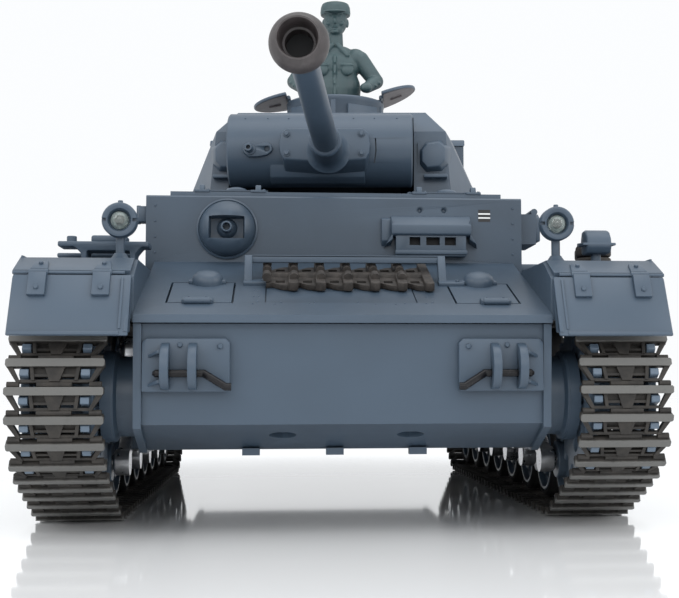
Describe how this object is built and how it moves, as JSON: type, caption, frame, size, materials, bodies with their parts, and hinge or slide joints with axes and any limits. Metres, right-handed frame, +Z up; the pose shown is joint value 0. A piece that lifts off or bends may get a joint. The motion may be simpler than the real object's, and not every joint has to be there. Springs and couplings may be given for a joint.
{
  "type": "radio-controlled model tank",
  "caption": "Radio-controlled scale model tank with tracks on turning wheels, a turning turret, a gun that raises, hinged flaps and hatches and a half figure in the cupola.",
  "frame": {"origin": "on the ground under the middle of the model's box, gun and muffler included", "axes": "+Z up, the tank faces -Y, its left side is +X, +X across the tracks"},
  "size_m": [0.182, 0.4218, 0.2028],
  "materials": {
    "hull_paint": "satin blue-grey paint over moulded plastic",
    "track_metal": "worn dark brown track links with rubbed edges",
    "spare_link_brown": "matt brown with a blue-grey rack",
    "clear_lens": "clear moulded lens",
    "bright_metal": "bright zinc alloy",
    "black_metal": "gloss black",
    "muzzle_brown": "satin dark brown-grey",
    "figure_green": "single-colour dark green-blue plastic",
    "battery_wrap": "shrink wrap",
    "circuit_board": "green solder mask",
    "gear_plastic": "natural nylon"
  },
  "bodies": {
    "hull": {"hull_tub": "hull_paint", "upper_hull": "hull_paint", "tow_brackets": "hull_paint", "spare_link_rack": "spare_link_brown", "headlamps": "hull_paint", "lamp_lenses": "clear_lens", "blackout_lamp": "hull_paint", "drivers_visor": "hull_paint", "exhaust_muffler": "hull_paint", "fender_fittings": "hull_paint", "track_left": "track_metal", "track_right": "track_metal", "suspension_left": "bright_metal", "suspension_right": "bright_metal", "battery": "battery_wrap", "electronics": "circuit_board", "drive_units": "bright_metal"},
    "mud_flap_left": {"mud_flap_left": "hull_paint"},
    "tow_pin_left": {"tow_pin_left": "black_metal"},
    "sprocket_left": {"sprocket_left": "hull_paint"},
    "idler_left": {"idler_left": "hull_paint"},
    "road_wheel_l1": {"road_wheel_l1": "hull_paint"},
    "road_wheel_l2": {"road_wheel_l2": "hull_paint"},
    "road_wheel_l3": {"road_wheel_l3": "hull_paint"},
    "road_wheel_l4": {"road_wheel_l4": "hull_paint"},
    "road_wheel_l5": {"road_wheel_l5": "hull_paint"},
    "road_wheel_l6": {"road_wheel_l6": "hull_paint"},
    "road_wheel_l7": {"road_wheel_l7": "hull_paint"},
    "road_wheel_l8": {"road_wheel_l8": "hull_paint"},
    "return_roller_l1": {"return_roller_l1": "hull_paint"},
    "return_roller_l2": {"return_roller_l2": "hull_paint"},
    "return_roller_l3": {"return_roller_l3": "hull_paint"},
    "return_roller_l4": {"return_roller_l4": "hull_paint"},
    "mud_flap_right": {"mud_flap_right": "hull_paint"},
    "tow_pin_right": {"tow_pin_right": "black_metal"},
    "sprocket_right": {"sprocket_right": "hull_paint"},
    "idler_right": {"idler_right": "hull_paint"},
    "road_wheel_r1": {"road_wheel_r1": "hull_paint"},
    "road_wheel_r2": {"road_wheel_r2": "hull_paint"},
    "road_wheel_r3": {"road_wheel_r3": "hull_paint"},
    "road_wheel_r4": {"road_wheel_r4": "hull_paint"},
    "road_wheel_r5": {"road_wheel_r5": "hull_paint"},
    "road_wheel_r6": {"road_wheel_r6": "hull_paint"},
    "road_wheel_r7": {"road_wheel_r7": "hull_paint"},
    "road_wheel_r8": {"road_wheel_r8": "hull_paint"},
    "return_roller_r1": {"return_roller_r1": "hull_paint"},
    "return_roller_r2": {"return_roller_r2": "hull_paint"},
    "return_roller_r3": {"return_roller_r3": "hull_paint"},
    "return_roller_r4": {"return_roller_r4": "hull_paint"},
    "bow_gun": {"bow_gun": "hull_paint"},
    "turret": {"turret_shell": "hull_paint", "stowage_bin": "hull_paint", "cupola": "hull_paint"},
    "turret_pinion": {"turret_pinion": "gear_plastic"},
    "gun": {"mantlet": "hull_paint", "gun_barrel": "hull_paint", "muzzle_brake": "muzzle_brown"},
    "hatch_left": {"hatch_left": "hull_paint"},
    "hatch_right": {"hatch_right": "hull_paint"},
    "commander": {"commander": "figure_green"}
  },
  "joints": [
    {"name": "mud_flap_hinge_left", "type": "hinge", "parent": "hull", "child": "mud_flap_left", "pos_m": [0.0738, -0.14525, 0.0714], "axis": [-1, 0, 0], "range_deg": [0, 100]},
    {"name": "tow_pin_slide_left", "type": "slide", "parent": "hull", "child": "tow_pin_left", "axis": [-1, 0, 0], "range_m": [0, 0.012]},
    {"name": "sprocket_spin_left", "type": "hinge", "parent": "hull", "child": "sprocket_left", "pos_m": [0.0776, -0.12565, 0.0377], "axis": [1, 0, 0], "continuous": true},
    {"name": "idler_spin_left", "type": "hinge", "parent": "hull", "child": "idler_left", "pos_m": [0.0776, 0.1635, 0.04], "axis": [1, 0, 0], "continuous": true},
    {"name": "road_wheel_spin_l1", "type": "hinge", "parent": "hull", "child": "road_wheel_l1", "pos_m": [0.0776, -0.09775, 0.0175], "axis": [1, 0, 0], "continuous": true},
    {"name": "road_wheel_spin_l2", "type": "hinge", "parent": "hull", "child": "road_wheel_l2", "pos_m": [0.0776, -0.06695, 0.0175], "axis": [1, 0, 0], "continuous": true},
    {"name": "road_wheel_spin_l3", "type": "hinge", "parent": "hull", "child": "road_wheel_l3", "pos_m": [0.0776, -0.03615, 0.0175], "axis": [1, 0, 0], "continuous": true},
    {"name": "road_wheel_spin_l4", "type": "hinge", "parent": "hull", "child": "road_wheel_l4", "pos_m": [0.0776, -0.00535, 0.0175], "axis": [1, 0, 0], "continuous": true},
    {"name": "road_wheel_spin_l5", "type": "hinge", "parent": "hull", "child": "road_wheel_l5", "pos_m": [0.0776, 0.02545, 0.0175], "axis": [1, 0, 0], "continuous": true},
    {"name": "road_wheel_spin_l6", "type": "hinge", "parent": "hull", "child": "road_wheel_l6", "pos_m": [0.0776, 0.05625, 0.0175], "axis": [1, 0, 0], "continuous": true},
    {"name": "road_wheel_spin_l7", "type": "hinge", "parent": "hull", "child": "road_wheel_l7", "pos_m": [0.0776, 0.08705, 0.0175], "axis": [1, 0, 0], "continuous": true},
    {"name": "road_wheel_spin_l8", "type": "hinge", "parent": "hull", "child": "road_wheel_l8", "pos_m": [0.0776, 0.11785, 0.0175], "axis": [1, 0, 0], "continuous": true},
    {"name": "return_roller_spin_l1", "type": "hinge", "parent": "hull", "child": "return_roller_l1", "pos_m": [0.0776, -0.07435, 0.05205], "axis": [1, 0, 0], "continuous": true},
    {"name": "return_roller_spin_l2", "type": "hinge", "parent": "hull", "child": "return_roller_l2", "pos_m": [0.0776, -0.01275, 0.05155], "axis": [1, 0, 0], "continuous": true},
    {"name": "return_roller_spin_l3", "type": "hinge", "parent": "hull", "child": "return_roller_l3", "pos_m": [0.0776, 0.04885, 0.05104], "axis": [1, 0, 0], "continuous": true},
    {"name": "return_roller_spin_l4", "type": "hinge", "parent": "hull", "child": "return_roller_l4", "pos_m": [0.0776, 0.11045, 0.05054], "axis": [1, 0, 0], "continuous": true},
    {"name": "mud_flap_hinge_right", "type": "hinge", "parent": "hull", "child": "mud_flap_right", "pos_m": [-0.0738, -0.14525, 0.0714], "axis": [-1, 0, 0], "range_deg": [0, 100]},
    {"name": "tow_pin_slide_right", "type": "slide", "parent": "hull", "child": "tow_pin_right", "axis": [1, 0, 0], "range_m": [0, 0.012]},
    {"name": "sprocket_spin_right", "type": "hinge", "parent": "hull", "child": "sprocket_right", "pos_m": [-0.0776, -0.12565, 0.0377], "axis": [1, 0, 0], "continuous": true},
    {"name": "idler_spin_right", "type": "hinge", "parent": "hull", "child": "idler_right", "pos_m": [-0.0776, 0.1635, 0.04], "axis": [1, 0, 0], "continuous": true},
    {"name": "road_wheel_spin_r1", "type": "hinge", "parent": "hull", "child": "road_wheel_r1", "pos_m": [-0.0776, -0.09775, 0.0175], "axis": [1, 0, 0], "continuous": true},
    {"name": "road_wheel_spin_r2", "type": "hinge", "parent": "hull", "child": "road_wheel_r2", "pos_m": [-0.0776, -0.06695, 0.0175], "axis": [1, 0, 0], "continuous": true},
    {"name": "road_wheel_spin_r3", "type": "hinge", "parent": "hull", "child": "road_wheel_r3", "pos_m": [-0.0776, -0.03615, 0.0175], "axis": [1, 0, 0], "continuous": true},
    {"name": "road_wheel_spin_r4", "type": "hinge", "parent": "hull", "child": "road_wheel_r4", "pos_m": [-0.0776, -0.00535, 0.0175], "axis": [1, 0, 0], "continuous": true},
    {"name": "road_wheel_spin_r5", "type": "hinge", "parent": "hull", "child": "road_wheel_r5", "pos_m": [-0.0776, 0.02545, 0.0175], "axis": [1, 0, 0], "continuous": true},
    {"name": "road_wheel_spin_r6", "type": "hinge", "parent": "hull", "child": "road_wheel_r6", "pos_m": [-0.0776, 0.05625, 0.0175], "axis": [1, 0, 0], "continuous": true},
    {"name": "road_wheel_spin_r7", "type": "hinge", "parent": "hull", "child": "road_wheel_r7", "pos_m": [-0.0776, 0.08705, 0.0175], "axis": [1, 0, 0], "continuous": true},
    {"name": "road_wheel_spin_r8", "type": "hinge", "parent": "hull", "child": "road_wheel_r8", "pos_m": [-0.0776, 0.11785, 0.0175], "axis": [1, 0, 0], "continuous": true},
    {"name": "return_roller_spin_r1", "type": "hinge", "parent": "hull", "child": "return_roller_r1", "pos_m": [-0.0776, -0.07435, 0.05205], "axis": [1, 0, 0], "continuous": true},
    {"name": "return_roller_spin_r2", "type": "hinge", "parent": "hull", "child": "return_roller_r2", "pos_m": [-0.0776, -0.01275, 0.05155], "axis": [1, 0, 0], "continuous": true},
    {"name": "return_roller_spin_r3", "type": "hinge", "parent": "hull", "child": "return_roller_r3", "pos_m": [-0.0776, 0.04885, 0.05104], "axis": [1, 0, 0], "continuous": true},
    {"name": "return_roller_spin_r4", "type": "hinge", "parent": "hull", "child": "return_roller_r4", "pos_m": [-0.0776, 0.11045, 0.05054], "axis": [1, 0, 0], "continuous": true},
    {"name": "bow_gun_swivel", "type": "hinge", "parent": "hull", "child": "bow_gun", "pos_m": [-0.0348, -0.08625, 0.0906], "axis": [0, 0, 1], "range_deg": [-12, 12]},
    {"name": "turret_traverse", "type": "hinge", "parent": "hull", "child": "turret", "pos_m": [0.0042, 0.00575, 0.1045], "axis": [0, 0, 1], "range_deg": [-155, 165]},
    {"name": "turret_pinion_spin", "type": "hinge", "parent": "hull", "child": "turret_pinion", "pos_m": [0.0042, 0.04075, 0.097], "axis": [0, 0, 1], "range_deg": [-930, 990]},
    {"name": "gun_elevation", "type": "hinge", "parent": "turret", "child": "gun", "pos_m": [-0.00024, -0.04606, 0.1235], "axis": [-0.9963, 0.0854, 0], "range_deg": [-8, 20]},
    {"name": "hatch_hinge_left", "type": "hinge", "parent": "turret", "child": "hatch_left", "pos_m": [0.02443, 0.03914, 0.1606], "axis": [-0.0854, -0.9963, 0], "range_deg": [0, 45]},
    {"name": "hatch_hinge_right", "type": "hinge", "parent": "turret", "child": "hatch_right", "pos_m": [-0.01403, 0.04244, 0.1606], "axis": [0.0854, 0.9963, 0], "range_deg": [0, 70]},
    {"name": "commander_lift", "type": "slide", "parent": "turret", "child": "commander", "axis": [0, 0, 1], "range_m": [0, 0.06]}
  ],
  "couplings": [
    {"joint": "idler_spin_left", "follows": "sprocket_spin_left", "ratio": 1.3642},
    {"joint": "road_wheel_spin_l1", "follows": "sprocket_spin_left", "ratio": 1.6812},
    {"joint": "road_wheel_spin_l2", "follows": "sprocket_spin_left", "ratio": 1.6812},
    {"joint": "road_wheel_spin_l3", "follows": "sprocket_spin_left", "ratio": 1.6812},
    {"joint": "road_wheel_spin_l4", "follows": "sprocket_spin_left", "ratio": 1.6812},
    {"joint": "road_wheel_spin_l5", "follows": "sprocket_spin_left", "ratio": 1.6812},
    {"joint": "road_wheel_spin_l6", "follows": "sprocket_spin_left", "ratio": 1.6812},
    {"joint": "road_wheel_spin_l7", "follows": "sprocket_spin_left", "ratio": 1.6812},
    {"joint": "road_wheel_spin_l8", "follows": "sprocket_spin_left", "ratio": 1.6812},
    {"joint": "return_roller_spin_l1", "follows": "sprocket_spin_left", "ratio": 3.2261},
    {"joint": "return_roller_spin_l2", "follows": "sprocket_spin_left", "ratio": 3.2261},
    {"joint": "return_roller_spin_l3", "follows": "sprocket_spin_left", "ratio": 3.2261},
    {"joint": "return_roller_spin_l4", "follows": "sprocket_spin_left", "ratio": 3.2261},
    {"joint": "idler_spin_right", "follows": "sprocket_spin_right", "ratio": 1.3642},
    {"joint": "road_wheel_spin_r1", "follows": "sprocket_spin_right", "ratio": 1.6812},
    {"joint": "road_wheel_spin_r2", "follows": "sprocket_spin_right", "ratio": 1.6812},
    {"joint": "road_wheel_spin_r3", "follows": "sprocket_spin_right", "ratio": 1.6812},
    {"joint": "road_wheel_spin_r4", "follows": "sprocket_spin_right", "ratio": 1.6812},
    {"joint": "road_wheel_spin_r5", "follows": "sprocket_spin_right", "ratio": 1.6812},
    {"joint": "road_wheel_spin_r6", "follows": "sprocket_spin_right", "ratio": 1.6812},
    {"joint": "road_wheel_spin_r7", "follows": "sprocket_spin_right", "ratio": 1.6812},
    {"joint": "road_wheel_spin_r8", "follows": "sprocket_spin_right", "ratio": 1.6812},
    {"joint": "return_roller_spin_r1", "follows": "sprocket_spin_right", "ratio": 3.2261},
    {"joint": "return_roller_spin_r2", "follows": "sprocket_spin_right", "ratio": 3.2261},
    {"joint": "return_roller_spin_r3", "follows": "sprocket_spin_right", "ratio": 3.2261},
    {"joint": "return_roller_spin_r4", "follows": "sprocket_spin_right", "ratio": 3.2261},
    {"joint": "turret_pinion_spin", "follows": "turret_traverse", "ratio": 6}
  ]
}
